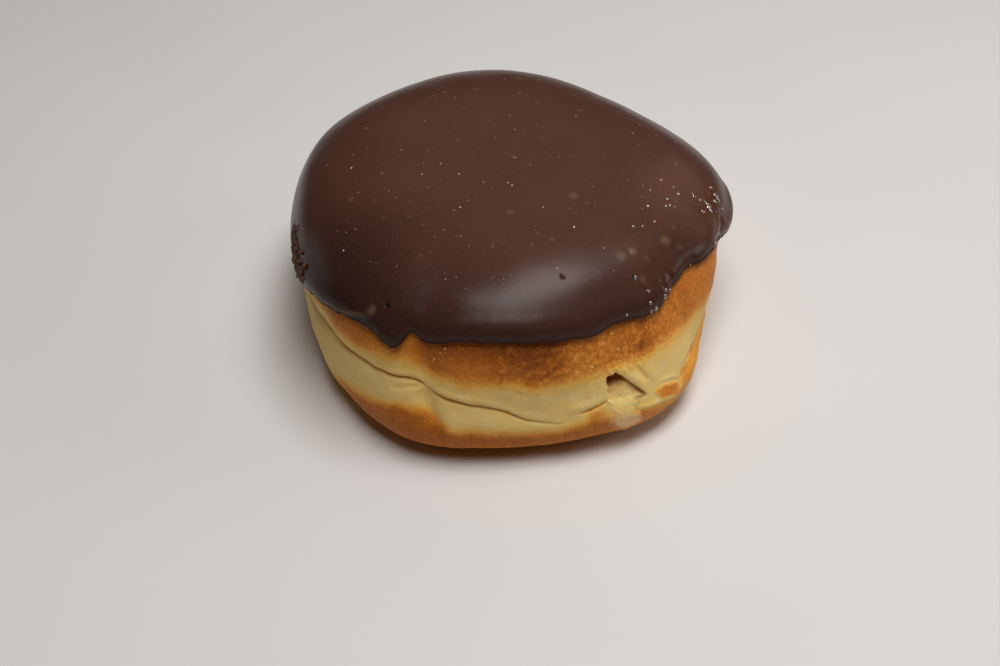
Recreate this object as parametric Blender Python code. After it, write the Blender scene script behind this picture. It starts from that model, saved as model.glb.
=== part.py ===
"""A boston cream doughnut: a fried yeast doughnut with a chocolate cap and a custard filling.

The doughnut stands on its flat foot at z = 0 with the middle of its outline over the origin.
Azimuths are in degrees about +Z from +X, so the shown front is at -90. Lengths are in metres.
"""

import math

import bmesh
import bpy
import numpy as np

# Turned profile of the dough, as radius and height, from the middle of the foot to the middle of the top
DOUGH_PROFILE = (
    (0.0000, 0.0000),
    (0.0375, 0.0000),
    (0.0446, 0.0016),
    (0.0482, 0.0050),
    (0.0497, 0.0100),
    (0.0493, 0.0160),
    (0.0494, 0.0220),
    (0.0491, 0.0275),
    (0.0476, 0.0318),
    (0.0449, 0.0352),
    (0.0386, 0.0389),
    (0.0288, 0.0415),
    (0.0150, 0.0429),
    (0.0000, 0.0433),
)
OUTLINE_CENTRE = (-0.0010, 0.0010)
LOW_HEIGHT, HIGH_HEIGHT = 0.0070, 0.0330

# Lumps and flats of the outline, as azimuth, half width in degrees and radial height
LOW_LUMPS = (
    (-50.0, 26.0, 0.0059),
    (-30.0, 12.0, -0.0017),
    (-6.0, 22.0, -0.0027),
    (-84.0, 18.0, 0.0019),
    (-113.0, 20.0, 0.0052),
    (-140.0, 16.0, 0.0007),
    (-166.0, 24.0, -0.0021),
)
HIGH_LUMPS = (
    (2.0, 20.0, 0.0016),
    (-15.0, 9.0, -0.0011),
    (-27.0, 13.0, 0.0022),
    (30.0, 14.0, -0.0010),
    (50.0, 25.0, -0.0040),
    (104.0, 22.0, 0.0022),
    (145.0, 18.0, 0.0015),
    (-172.0, 30.0, -0.0019),
    (-130.0, 18.0, 0.0011),
    (-52.0, 22.0, -0.0005),
)

# Proof line: the fold round the side where the two fried halves meet, as azimuth and height, then its depth
PROOF_LINE = (
    (-161.4, 0.0195),
    (-153.4, 0.0186),
    (-146.0, 0.0200),
    (-140.9, 0.0205),
    (-135.7, 0.0203),
    (-130.6, 0.0208),
    (-122.8, 0.0209),
    (-117.2, 0.0210),
    (-114.0, 0.0213),
    (-111.4, 0.0204),
    (-108.5, 0.0190),
    (-106.2, 0.0183),
    (-103.1, 0.0180),
    (-98.8, 0.0175),
    (-92.4, 0.0162),
    (-87.1, 0.0139),
    (-81.9, 0.0126),
    (-78.5, 0.0119),
    (-72.6, 0.0130),
    (-60.8, 0.0152),
    (-48.5, 0.0118),
    (-39.1, 0.0135),
    (-20.0, 0.0150),
    (30.0, 0.0155),
    (90.0, 0.0170),
    (145.0, 0.0200),
)
PROOF_DEPTHS = (
    (-178.0, 0.0013),
    (-150.0, 0.0013),
    (-130.0, 0.0010),
    (-116.0, 0.0008),
    (-108.0, 0.0006),
    (-95.0, 0.0005),
    (-84.0, 0.0005),
    (-76.0, 0.0002),
    (-60.0, 0.0001),
    (-47.0, 0.0004),
    (-38.0, 0.0009),
    (-25.0, 0.0012),
    (30.0, 0.0013),
    (120.0, 0.0014),
)
PROOF_HALF_WIDTH = 0.0018

# Upright dimple on the front left, which runs from the icing's shoulder through its notch to the proof line
DIMPLE_AZIMUTH, DIMPLE_HALF_WIDTH, DIMPLE_DEPTH = -110.5, 5.0, 0.0013
DIMPLE_HEIGHT, DIMPLE_REACH_DOWN, DIMPLE_REACH_UP = 0.0239, 0.0085, 0.0130

# Icing: the height of its lower edge round the doughnut, as azimuth and height. It reaches about 55 mm
# along the dough from its top to its rim, and is rounded over its last 3 mm
ICING_EDGE = (
    (-180.0, 0.0245),
    (-159.0, 0.0246),
    (-149.7, 0.0272),
    (-141.0, 0.0288),
    (-132.0, 0.0303),
    (-125.0, 0.0303),
    (-121.5, 0.0291),
    (-118.6, 0.0283),
    (-116.8, 0.0294),
    (-115.1, 0.0318),
    (-113.7, 0.0316),
    (-112.0, 0.0307),
    (-108.0, 0.0306),
    (-103.0, 0.0316),
    (-94.0, 0.0320),
    (-66.1, 0.0319),
    (-54.2, 0.0311),
    (-46.0, 0.0316),
    (-41.6, 0.0332),
    (-36.4, 0.0340),
    (-28.7, 0.0332),
    (-22.0, 0.0326),
    (-16.5, 0.0307),
    (-10.5, 0.0283),
    (-3.0, 0.0273),
    (10.0, 0.0277),
    (30.0, 0.0294),
    (90.0, 0.0302),
    (150.0, 0.0275),
)
ICING_SIDE_THICKNESS, ICING_TOP_THICKNESS = 0.0016, 0.0018
ICING_REACH = 0.0550
ICING_RIM_LENGTH, ICING_RIM_LIP = 0.0028, 0.0004
ICING_ROW_CROWDING = 0.9
GAP = 0.00035

# Custard: sections along the line through the mouth, as distance, half width, half height and height
CUSTARD_SECTIONS = (
    (-0.0260, 0.0000, 0.0000, 0.0205),
    (-0.0235, 0.0105, 0.0052, 0.0205),
    (-0.0130, 0.0222, 0.0088, 0.0205),
    (0.0000, 0.0258, 0.0100, 0.0205),
    (0.0130, 0.0218, 0.0088, 0.0200),
    (0.0230, 0.0110, 0.0062, 0.0184),
    (0.0320, 0.0058, 0.0042, 0.0163),
    (0.0415, 0.0049, 0.0032, 0.0150),
    (0.0484, 0.0045, 0.0027, 0.0142),
    (0.0511, 0.0000, 0.0000, 0.0138),
)
FILLING_CENTRE = (0.0002, 0.0007)
MOUTH_AZIMUTH = -61.9
MOUTH_CENTRE_RADIUS, MOUTH_HEIGHT = 0.0504, 0.0167
MOUTH_HALF_WIDTH, MOUTH_HALF_HEIGHT, MOUTH_HALF_DEPTH = 0.0056, 0.0036, 0.0085
MOUTH_SLANT = 32.0

# Faces: columns round the doughnut, closer together at the front, and rows from pole to pole
COLUMNS, FRONT_CROWDING = 90, 0.42
DOUGH_ROWS, ICING_ROWS = 36, 24
DOUGH_ROW_STATIONS = ((0.0, 0.0), (1.0, 1.0), (5.0, 3.2), (24.0, 7.6), (31.0, 10.2), (36.0, 13.0))
CUSTARD_COLUMNS, CUSTARD_ROWS = 24, 18
MOUTH_COLUMNS, MOUTH_ROWS = 16, 8
STATION_STEP, FINE_STATIONS = 0.02, 400

COLOURS = {
    "dough": (0.46, 0.24, 0.07),
    "icing": (0.052, 0.021, 0.013),
    "custard": (0.62, 0.44, 0.18),
}
ROUGHNESS = {"dough": 0.55, "icing": 0.38, "custard": 0.35}


def smooth_curve(at, points, period=None):
    """Values of the smooth curve through points of place and value, which repeats after a period if given."""
    places, values = np.array(points, float).T
    at = np.asarray(at, float)
    if period:
        places = np.concatenate((places[-2:] - period, places, places[:2] + period))
        values = np.concatenate((values[-2:], values, values[:2]))
        at = (at - places[2]) % period + places[2]
    slopes = np.gradient(values, places)
    left = np.clip(np.searchsorted(places, at) - 1, 0, len(places) - 2)
    span = places[left + 1] - places[left]
    t = (at - places[left]) / span
    from_left = values[left] * (1 + 2 * t) * (1 - t) ** 2 + slopes[left] * span * t * (1 - t) ** 2
    from_right = values[left + 1] * t * t * (3 - 2 * t) + slopes[left + 1] * span * t * t * (t - 1)
    return from_left + from_right


def bell(away, half_width):
    """A smooth bump, 1 in the middle and nearly 0 at twice its half width."""
    return np.exp(-(away / half_width) ** 2)


def turn_between(azimuth, centre):
    """Signed angle in degrees from a centre azimuth, between -180 and 180."""
    return (azimuth - centre + 180.0) % 360.0 - 180.0


def lumps(azimuth, named_lumps):
    """Radial height of the outline's lumps and flats at an azimuth."""
    return sum(height * bell(turn_between(azimuth, centre), width) for centre, width, height in named_lumps)


def dough_point(azimuth, station):
    """Point of the dough's outer surface at an azimuth and a station of the turned profile."""
    stations = np.arange(len(DOUGH_PROFILE))
    radii, heights = np.array(DOUGH_PROFILE).T
    radius = smooth_curve(station, tuple(zip(stations, radii)))
    height = np.maximum(smooth_curve(station, tuple(zip(stations, heights))), 0.0)
    rise = np.clip((height - LOW_HEIGHT) / (HIGH_HEIGHT - LOW_HEIGHT), 0.0, 1.0)
    rise = rise * rise * (3 - 2 * rise)
    outline = lumps(azimuth, LOW_LUMPS) * (1 - rise) + lumps(azimuth, HIGH_LUMPS) * rise
    radius = radius * (1 + outline / radii.max())
    fold = height - smooth_curve(azimuth, PROOF_LINE, 360.0)
    radius = radius - smooth_curve(azimuth, PROOF_DEPTHS, 360.0) * bell(fold, PROOF_HALF_WIDTH)
    dimple = bell(turn_between(azimuth, DIMPLE_AZIMUTH), DIMPLE_HALF_WIDTH)
    reach = np.where(height > DIMPLE_HEIGHT, DIMPLE_REACH_UP, DIMPLE_REACH_DOWN)
    radius = radius - DIMPLE_DEPTH * dimple * bell(height - DIMPLE_HEIGHT, reach)
    radius = np.maximum(radius, 0.0)
    turn = np.radians(azimuth)
    x = OUTLINE_CENTRE[0] + radius * np.cos(turn)
    y = OUTLINE_CENTRE[1] + radius * np.sin(turn)
    return np.stack((x, y, height), axis=-1)


def dough_normal(azimuth, station):
    """Outward direction of the dough's surface, level with the axis at its top."""
    along = dough_point(azimuth, station + STATION_STEP) - dough_point(azimuth, station - STATION_STEP)
    turn = np.radians(azimuth)
    rise = np.hypot(along[..., 0], along[..., 1])
    outward = along[..., 2]
    length = np.hypot(rise, outward)
    return np.stack((outward * np.cos(turn), outward * np.sin(turn), rise), axis=-1) / length[..., None]


def icing_edge_station(azimuth):
    """Station of the profile at which the icing's lower edge lies."""
    stations = np.arange(len(DOUGH_PROFILE))
    heights = np.array(DOUGH_PROFILE)[:, 1]
    fine = np.linspace(stations[1], stations[-1], FINE_STATIONS)
    fine_heights = smooth_curve(fine, tuple(zip(stations, heights)))
    return np.interp(smooth_curve(azimuth, ICING_EDGE, 360.0), fine_heights, fine)


def icing_point(azimuth, depth, outer):
    """Point of the icing at a depth from 0 at its top to 1 at its rim, on its outer or its inner face."""
    top = len(DOUGH_PROFILE) - 1.0
    station = top + (icing_edge_station(azimuth) - top) * depth
    station = np.minimum(station, top - STATION_STEP)
    surface = dough_point(azimuth, station)
    from_rim = np.clip((1 - depth) * ICING_REACH / ICING_RIM_LENGTH, 0.0, 1.0)
    round_rim = np.sqrt(from_rim * (2 - from_rim))
    thickness = ICING_TOP_THICKNESS + (ICING_SIDE_THICKNESS - ICING_TOP_THICKNESS) * depth
    middle = GAP + thickness / 2
    offset = np.where(outer, middle + thickness / 2 * round_rim, middle - thickness / 2 * round_rim)
    point = surface + dough_normal(azimuth, station) * offset[..., None]
    point[..., 2] -= ICING_RIM_LIP * (1 - round_rim)
    return point


def sphere_grid(mesh, columns, rows):
    """Fill a mesh with a sphere's vertices and faces; give each vertex's turn in degrees and row from -Z."""
    bm = bmesh.new()
    bmesh.ops.create_uvsphere(bm, u_segments=columns, v_segments=rows, radius=1.0)
    bm.to_mesh(mesh)
    bm.free()
    places = np.array([vertex.co for vertex in mesh.vertices])
    turn = np.degrees(np.arctan2(places[:, 1], places[:, 0]))
    row = np.degrees(np.arccos(np.clip(-places[:, 2], -1.0, 1.0))) * rows / 180.0
    return np.round(turn * columns / 360.0) * 360.0 / columns, np.round(row)


def crowd_to_front(turn):
    """Azimuths from evenly spaced turns, closer together round the front."""
    return turn - np.degrees(FRONT_CROWDING * np.sin(np.radians(turn + 90.0)))


def place_vertices(mesh, points):
    """Move a mesh's vertices to points, with its faces turned to point out."""
    mesh.vertices.foreach_set("co", np.asarray(points, float).ravel())
    bm = bmesh.new()
    bm.from_mesh(mesh)
    bmesh.ops.recalc_face_normals(bm, faces=bm.faces)
    bmesh.ops.triangulate(bm, faces=bm.faces)
    bm.to_mesh(mesh)
    bm.free()
    mesh.shade_smooth()
    mesh.update()


def make_material(name):
    """A plain finish in the photographed colour of one sub-part."""
    material = bpy.data.materials.new(name)
    material.use_nodes = True
    shader = material.node_tree.nodes["Principled BSDF"]
    shader.inputs["Base Color"].default_value = (*COLOURS[name], 1.0)
    shader.inputs["Roughness"].default_value = ROUGHNESS[name]
    shader.inputs["Metallic"].default_value = 0.0
    return material


def add_object(name, mesh, collection):
    """Link a new object for a mesh into a collection."""
    thing = bpy.data.objects.new(name, mesh)
    collection.objects.link(thing)
    return thing


def make_dough(collection):
    """The fried dough: a squat round body with a flat foot, lumps, the proof line and the dimple."""
    mesh = bpy.data.meshes.new("dough")
    turn, row = sphere_grid(mesh, COLUMNS, DOUGH_ROWS)
    station = smooth_curve(row, DOUGH_ROW_STATIONS)
    place_vertices(mesh, dough_point(crowd_to_front(turn), station))
    dough = add_object("dough", mesh, collection)
    mesh.materials.append(make_material("dough"))
    return dough


def make_icing(collection):
    """The chocolate cap: a sphere folded over the dough, its north half outside and its south half inside."""
    mesh = bpy.data.meshes.new("icing")
    turn, row = sphere_grid(mesh, COLUMNS, ICING_ROWS)
    middle_row = ICING_ROWS / 2
    depth = 1 - np.abs(row - middle_row) / middle_row
    depth = np.sin(depth * math.pi / 2) ** ICING_ROW_CROWDING
    outer = row >= middle_row
    place_vertices(mesh, icing_point(crowd_to_front(turn), depth, outer))
    icing = add_object("icing", mesh, collection)
    mesh.materials.append(make_material("icing"))
    return icing


def custard_mesh(name, margin):
    """The filling's form grown by a margin: a flattened core with a neck that reaches the mouth."""
    mesh = bpy.data.meshes.new(name)
    turn, row = sphere_grid(mesh, CUSTARD_COLUMNS, CUSTARD_ROWS)
    sections = np.array(CUSTARD_SECTIONS)
    section_rows = np.linspace(0, CUSTARD_ROWS, len(sections))
    along, half_width, half_height, height = (
        smooth_curve(row, tuple(zip(section_rows, column))) for column in sections.T
    )
    round_turn = np.radians(turn)
    inner = (row > 0) & (row < CUSTARD_ROWS)
    side = (half_width + margin) * np.cos(round_turn) * inner
    up = (half_height + margin) * np.sin(round_turn) * inner
    along = along + margin * np.sign(row - CUSTARD_ROWS / 2)
    azimuth = math.radians(MOUTH_AZIMUTH)
    x = FILLING_CENTRE[0] + along * math.cos(azimuth) - side * math.sin(azimuth)
    y = FILLING_CENTRE[1] + along * math.sin(azimuth) + side * math.cos(azimuth)
    place_vertices(mesh, np.stack((x, y, height + up), axis=-1))
    return mesh


def make_custard(collection):
    """The custard filling, which shows in the mouth on the front right."""
    mesh = custard_mesh("custard", 0.0)
    mesh.materials.append(make_material("custard"))
    return add_object("custard", mesh, collection)


def make_mouth_cutter(collection):
    """The slanting hole that the filling nozzle left in the side."""
    mesh = bpy.data.meshes.new("mouth_cutter")
    bm = bmesh.new()
    bmesh.ops.create_uvsphere(bm, u_segments=MOUTH_COLUMNS, v_segments=MOUTH_ROWS, radius=1.0)
    bm.to_mesh(mesh)
    bm.free()
    places = np.array([vertex.co for vertex in mesh.vertices])
    slant = math.radians(MOUTH_SLANT)
    across = places[:, 0] * MOUTH_HALF_WIDTH
    up = places[:, 1] * MOUTH_HALF_HEIGHT
    side = across * math.cos(slant) + up * math.sin(slant)
    rise = up * math.cos(slant) - across * math.sin(slant)
    reach = MOUTH_CENTRE_RADIUS + places[:, 2] * MOUTH_HALF_DEPTH
    azimuth = math.radians(MOUTH_AZIMUTH)
    x = FILLING_CENTRE[0] + reach * math.cos(azimuth) - side * math.sin(azimuth)
    y = FILLING_CENTRE[1] + reach * math.sin(azimuth) + side * math.cos(azimuth)
    place_vertices(mesh, np.stack((x, y, MOUTH_HEIGHT + rise), axis=-1))
    return add_object("mouth_cutter", mesh, collection)


def cut(target, cutter):
    """Take a cutter out of an object."""
    cutter.hide_render = True
    cutter.display_type = "WIRE"
    modifier = target.modifiers.new(cutter.name, "BOOLEAN")
    modifier.operation = "DIFFERENCE"
    modifier.solver = "EXACT"
    modifier.object = cutter


def main():
    for thing in list(bpy.data.objects):
        bpy.data.objects.remove(thing)
    doughnut = bpy.data.collections.new("boston_cream_doughnut")
    cutters = bpy.data.collections.new("cutters")
    bpy.context.scene.collection.children.link(doughnut)
    bpy.context.scene.collection.children.link(cutters)
    dough = make_dough(doughnut)
    make_icing(doughnut)
    make_custard(doughnut)
    cut(dough, add_object("custard_cutter", custard_mesh("custard_cutter", GAP), cutters))
    cut(dough, make_mouth_cutter(cutters))


main()
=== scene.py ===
"""Looks for a boston cream doughnut: browned dough, chocolate icing and custard in a pale studio.

Lengths here are in millimetres and become metres when a mesh, lamp or camera is made. Azimuths are in
degrees about +Z from +X, so the shown front is at -90. Colours are linear red, green and blue.
"""

import math
import random

import bmesh
import bpy
import numpy as np
from mathutils import Matrix, Vector, noise


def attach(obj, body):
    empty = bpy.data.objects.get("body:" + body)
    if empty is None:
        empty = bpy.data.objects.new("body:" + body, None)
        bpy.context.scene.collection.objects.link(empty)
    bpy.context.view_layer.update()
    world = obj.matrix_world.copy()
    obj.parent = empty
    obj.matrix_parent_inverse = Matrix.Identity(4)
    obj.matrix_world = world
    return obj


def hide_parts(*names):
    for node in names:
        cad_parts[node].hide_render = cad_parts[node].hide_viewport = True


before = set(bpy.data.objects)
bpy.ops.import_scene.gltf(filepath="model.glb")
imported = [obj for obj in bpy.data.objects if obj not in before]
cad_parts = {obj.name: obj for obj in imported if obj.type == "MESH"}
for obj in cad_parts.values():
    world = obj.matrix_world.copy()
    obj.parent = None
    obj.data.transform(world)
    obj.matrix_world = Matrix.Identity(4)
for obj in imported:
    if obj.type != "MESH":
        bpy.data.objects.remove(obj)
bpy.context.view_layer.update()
MM = 0.001
FULL_TURN = 360.0
LEAST_LENGTH = 1e-9

# Turned profile of the dough, as radius and height, from the middle of the foot to the middle of the top
DOUGH_PROFILE = (
    (0, 0), (37.5, 0), (44.6, 1.6), (48.2, 5), (49.7, 10), (49.3, 16), (49.4, 22), (49.1, 27.5),
    (47.6, 31.8), (44.9, 35.2), (38.6, 38.9), (28.8, 41.5), (15, 42.9), (0, 43.3),
)
OUTLINE_CENTRE = (-1.0, 1.0)
LOW_HEIGHT, HIGH_HEIGHT = 7.0, 33.0

# Lumps and flats of the outline, as azimuth, half width in degrees and radial height
LOW_LUMPS = (
    (-50, 26, 5.9), (-30, 12, -1.7), (-6, 22, -2.7), (-84, 18, 1.9), (-113, 20, 5.2), (-140, 16, 0.7),
    (-166, 24, -2.1),
)
HIGH_LUMPS = (
    (2, 20, 1.6), (-15, 9, -1.1), (-27, 13, 2.2), (30, 14, -1), (50, 25, -4), (104, 22, 2.2),
    (145, 18, 1.5), (-172, 30, -1.9), (-130, 18, 1.1), (-52, 22, -0.5),
)

# Proof line: the fold round the side, as azimuth and height
PROOF_LINE = (
    (-161.4, 19.5), (-153.4, 18.6), (-146, 20), (-140.9, 20.5), (-135.7, 20.3), (-130.6, 20.8),
    (-122.8, 20.9), (-117.2, 21), (-114, 21.3), (-111.4, 20.4), (-108.5, 19), (-106.2, 18.3), (-103.1, 18),
    (-98.8, 17.5), (-92.4, 16.2), (-87.1, 13.9), (-81.9, 12.6), (-78.5, 11.9), (-72.6, 13), (-60.8, 15.2),
    (-48.5, 11.8), (-39.1, 13.5), (-20, 15), (30, 15.5), (90, 17), (145, 20),
)

# How sharply the proof line is creased, and how deep a valley it lies in, both by azimuth
PROOF_CREASE = (
    (-178, 0.6), (-150, 0.5), (-140, 0.8), (-125, 1), (-114, 0.9), (-111.2, 0.6), (-109.8, 0.1),
    (-108.4, 0.4), (-106, 0.9), (-97, 0.8), (-89, 0.65), (-84, 0.4), (-79, 0.1), (-72, 0), (-47, 0),
    (-43, 0.5), (-30, 0.6), (30, 0.6), (120, 0.8),
)
VALLEY_DEPTHS = (
    (-178, 1.3), (-150, 1.3), (-130, 0.9), (-116, 0.35), (-108, 0.2), (-84, 0.15), (-60, 0.1), (-47, 0.4),
    (-38, 0.9), (-25, 1.2), (30, 1.3), (120, 1.4),
)
VALLEY_HALF_WIDTH = 1.8
CREASE_DEPTH, CREASE_UPPER_WIDTH, CREASE_LOWER_WIDTH = 0.9, 0.22, 0.42
LIP_HEIGHT, LIP_ABOVE, LIP_HALF_WIDTH = 0.3, 1.0, 0.8

# Upright dimple on the front left
DIMPLE_AZIMUTH, DIMPLE_HALF_WIDTH, DIMPLE_DEPTH = -110.5, 5.0, 1.3
DIMPLE_HEIGHT, DIMPLE_REACH_DOWN, DIMPLE_REACH_UP = 23.9, 8.5, 13.0

# Filling hole: the corners of its outline, as azimuth and height, how it goes in and how brown its rim is,
# which is painted shade inside the hole
MOUTH_AZIMUTH, MOUTH_HEIGHT = -61.9, 16.7
MOUTH_OUTLINE = (
    (-66.5, 20.5), (-63.9, 20.9), (-61.9, 19.2), (-59.8, 17.1), (-58.2, 15.3), (-56.6, 13.1), (-58.7, 12.9),
    (-62.4, 12.7), (-64.8, 13.7), (-66.8, 15.2), (-66.4, 18),
)
MOUTH_DEPTH, MOUTH_WALL, MOUTH_UNDERCUT, MOUTH_LIP = 9.0, 0.8, 0.35, 0.15
MOUTH_RIM, MOUTH_SHADE_RIM, MOUTH_WALL_SHADE = (-0.2, 0.6), (0.1, 0.9), 0.95

# Length along the side of one degree about the axis, and how a stroke thins towards its ends
SIDE_MM_PER_DEGREE, TAPER_POWER, TAPER_END = 0.9, 0.4, 0.15

# Where browned crust begins above and ends below the pale band, as azimuth and height
UPPER_CRUST = (
    (-154, 23.5), (-144, 24.2), (-138, 23.6), (-132, 23.2), (-126, 24), (-120, 24.6), (-114, 24.4),
    (-108, 22.6), (-102, 22), (-96, 22.2), (-90, 21.8), (-84, 21.2), (-78, 20.8), (-72, 21.2), (-66, 21.2),
    (-60, 21.2), (-54, 21.3), (-48, 21.5), (-42, 22), (-36, 22.8), (-28, 22), (10, 21), (70, 21.5),
    (130, 23.5), (170, 23.5),
)
LOWER_CRUST = (
    (-160, 8), (-150, 6.5), (-143.1, 8), (-137, 11), (-131, 11.8), (-126, 12.6), (-120.6, 14),
    (-115.5, 15.2), (-111.2, 15), (-107.5, 13.2), (-103, 11.4), (-96.7, 11.2), (-88.1, 10.3), (-81, 10),
    (-76, 10.6), (-71.7, 11.4), (-62.9, 11.4), (-56.2, 10.7), (-50, 9.6), (-47.3, 10.1), (-44.4, 13.1),
    (-41.2, 14.6), (-34.4, 14.3), (-27.7, 14.1), (20, 11), (80, 10), (140, 10),
)

# How browned the crust is above and below the pale band, by azimuth; the darker upper tones at the left and
# the front are partly painted shade
CRUST_TONE = (
    (-150, 0.6), (-130, 0.64), (-114, 0.64), (-108, 0.74), (-102, 0.63), (-92, 0.72), (-84, 0.8),
    (-78, 0.74), (-72, 0.61), (-66, 0.64), (-60, 0.68), (-54, 0.74), (-48, 0.62), (-42, 0.66), (-36, 0.62),
    (-28, 0.6), (-15, 0.62), (30, 0.66), (100, 0.74), (160, 0.62),
)
FOOT_TONE = (
    (-160, 0.36), (-144, 0.44), (-137, 0.54), (-129, 0.71), (-120, 0.75), (-84, 0.76), (-66, 0.69),
    (-54, 0.6), (-44, 0.52), (-28, 0.5), (30, 0.64), (100, 0.7), (160, 0.55),
)
FOOT_FADE, FOOT_FADE_HEIGHTS = 0.22, (2.0, 8.0)
# How much darker the proof line's crease is, partly painted shade in it
CREASE_SHADE_AND_BROWNING = 0.22
UPPER_SOFTNESS, LOWER_SOFTNESS, LOWER_RAGGED = 3.2, 2.4, 0.7
TONE_RISE, TONE_RISE_LIMIT = 0.012, 12.0

# Small folds, cracks and ridges of the dough: half width, relief, change of how browned it is, and path as
# azimuth and height. Where the relief is sunk, the added brown is partly painted shade in the crack or groove
DOUGH_STROKES = (
    # Painted shade, without relief, on the crust under the front of the icing
    (2.4, 0, 0.17, ((-106, 29.4), (-97, 29.8), (-88, 29.8), (-78, 29.6))),
    (0.45, -0.35, 0.12, ((-118.5, 18.4), (-114.9, 19.1), (-111.4, 19.8))),
    (1.9, -0.9, 0.14, ((-111.4, 19), (-109.6, 16.6), (-107.8, 13.8), (-105.6, 10.6))),
    (1, 0.25, -0.1, ((-146, 17.4), (-141, 14.4), (-134.6, 12.8))),
    (0.35, -0.5, 0.34, ((-73.4, 13.5), (-71, 13.8), (-69, 14.3), (-66.9, 14.9))),
    (0.9, 0.25, -0.1, ((-76.5, 14.9), (-72.6, 14.8), (-67.6, 15.9))),
    (1.2, 0, 0.42, ((-72.2, 12.8), (-70, 12.6), (-67.4, 13.3))),
    (0.45, -0.15, 0.22, ((-82, 23.8), (-79.4, 25.1), (-77.2, 26.3))),
    (0.75, -0.3, 0.16, ((-55.6, 25.6), (-56.4, 23), (-57.4, 21))),
    (0.9, 0.22, -0.1, ((-62.7, 21), (-60, 19), (-57.8, 16.3), (-55.9, 13.7))),
    (0.7, -0.3, 0.1, ((-58.4, 20.6), (-57.4, 19), (-56.1, 16.6))),
    (1.1, 0.12, 0, ((-57, 20.2), (-55, 18), (-53.4, 15.8))),
    # The oval's pale rim, paler partly as a painted highlight
    (0.5, 0.3, -0.35, ((-60.3, 11.4), (-56.8, 10.9), (-53.6, 10.8), (-50, 10), (-45.6, 10))),
    (0.45, 0.2, -0.12, ((-54.6, 14.3), (-52.1, 14.8), (-48.8, 14.2), (-45.9, 12.3))),
    (0.45, -0.6, 0.12, ((-45.9, 12.1), (-42.4, 14.6), (-39.6, 15), (-34.4, 14.6), (-28.4, 14.7))),
)

# Brown oval blister beside the mouth
OVAL_AZIMUTH, OVAL_HEIGHT, OVAL_SLANT = -50.6, 11.9, -21.0
OVAL_HALF_LENGTH, OVAL_HALF_HEIGHT, OVAL_RELIEF, OVAL_TONE = 4.0, 1.7, 0.35, 0.6
OVAL_RIM = (0.6, 1.2)

# Small blisters of the crust, and where its grain and relief fade out
BLISTER_AZIMUTHS, BLISTER_HEIGHTS, BLISTER_SEED = (-92.0, -42.0), (20.0, 30.5), 11
BLISTER_COUNT, BLISTER_RADII, BLISTER_RISE, BLISTER_PALENESS = 520, (0.15, 0.42), 0.12, 0.15
BLISTER_REACH, BLISTER_TONES = 3.0, (0.2, 0.6)
GRAIN_GAIN, GRAIN_LEAST, FLAT_FOOT_HEIGHTS = 1.6, 0.2, (0.2, 2.5)

# Fields of smooth noise: a seed, then the feature size and the height of each layer
CREASE_WANDER = (3, (2.6, 0.35))
DOUGH_WAVES = (5, (9.0, 0.3), (3.5, 0.12))
CRUST_GRAIN = (8, (1.7, 0.06), (0.8, 0.05))
CRUST_RAGGED = (21, (4.0, 0.9), (1.4, 0.5))
EDGE_WANDER = (31, (2.2, 0.3))
EDGE_RAGGED = (32, (1.3, 1.3))
ICING_WAVES = (41, (22.0, 0.35), (7.0, 0.07))
WRINKLE_WAVES = (44, (1.3, 0.34))
PATCH_GRAIN = (46, (1.2, 0.4))
WET_WAVES = (47, (1.1, 0.36))
CUSTARD_LUMPS = (51, (3.0, 0.5), (1.1, 0.18))
CUSTARD_CAP_LUMPS = (54, (2.2, 0.22), (0.9, 0.12))
MOUTH_RAGGED = (61, (1.3, 0.3))
OVAL_RAGGED = (64, (1.8, 0.25))
SMEAR_WAVES = (71, (2.0, 0.2), (0.8, 0.1))
SMEAR_RAGGED = (73, (1.2, 0.1))
NOISE_STRIDE = 37.7

# Icing: the height of its lower edge round the doughnut, as azimuth and height
ICING_EDGE = (
    (-180, 24.5), (-159, 24.6), (-149.7, 27.2), (-141, 28.8), (-132, 30.3), (-125, 30.3), (-121.5, 29.1),
    (-118.6, 28.3), (-116.8, 29.4), (-115.1, 31.8), (-113.7, 31.6), (-112, 30.7), (-108, 30.6),
    (-103, 31.6), (-94, 32), (-84, 31.8), (-77, 31.3), (-68, 31), (-64, 31.5), (-60, 31.5), (-56, 30.9),
    (-52.5, 30.4), (-48.3, 30.8), (-44.8, 32.2), (-41.6, 33.2), (-36.4, 34), (-28.7, 33.2), (-22, 32.6),
    (-16.5, 30.7), (-10.5, 28.3), (-3, 27.3), (10, 27.7), (30, 29.4), (90, 30.2), (150, 27.5),
)
ICING_SIDE_THICKNESS, ICING_TOP_THICKNESS = 1.6, 1.8
ICING_RIM_LENGTH, ICING_RIM_LIP, ICING_BEAD, ICING_BEAD_LENGTH = 2.8, 0.4, 0.2, 2.2
ICING_GAP, ICING_SIDE_SHADE_START, UNDERSIDE_RIM = 0.35, 20.0, (0.9, 0.1)
EDGE_RADIUS, RAGGED_AZIMUTH, RAGGED_HALF_WIDTH = 49.0, -176.0, 12.0
WRINKLE_AZIMUTH, WRINKLE_HALF_WIDTH, WRINKLE_RISE, WRINKLE_BAND = -46.5, 5.0, 1.8, 2.6
WRINKLE_WETNESS, WET_SMOOTHNESS = 0.6, 0.18

# Painted shade: the side of the icing is darker, most of all and furthest up at the left
SHADED_AZIMUTH, SHADED_HALF_WIDTH, SHADED_REACH, SIDE_SHADE_STRENGTH = -142.0, 30.0, 0.9, 0.6
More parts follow.
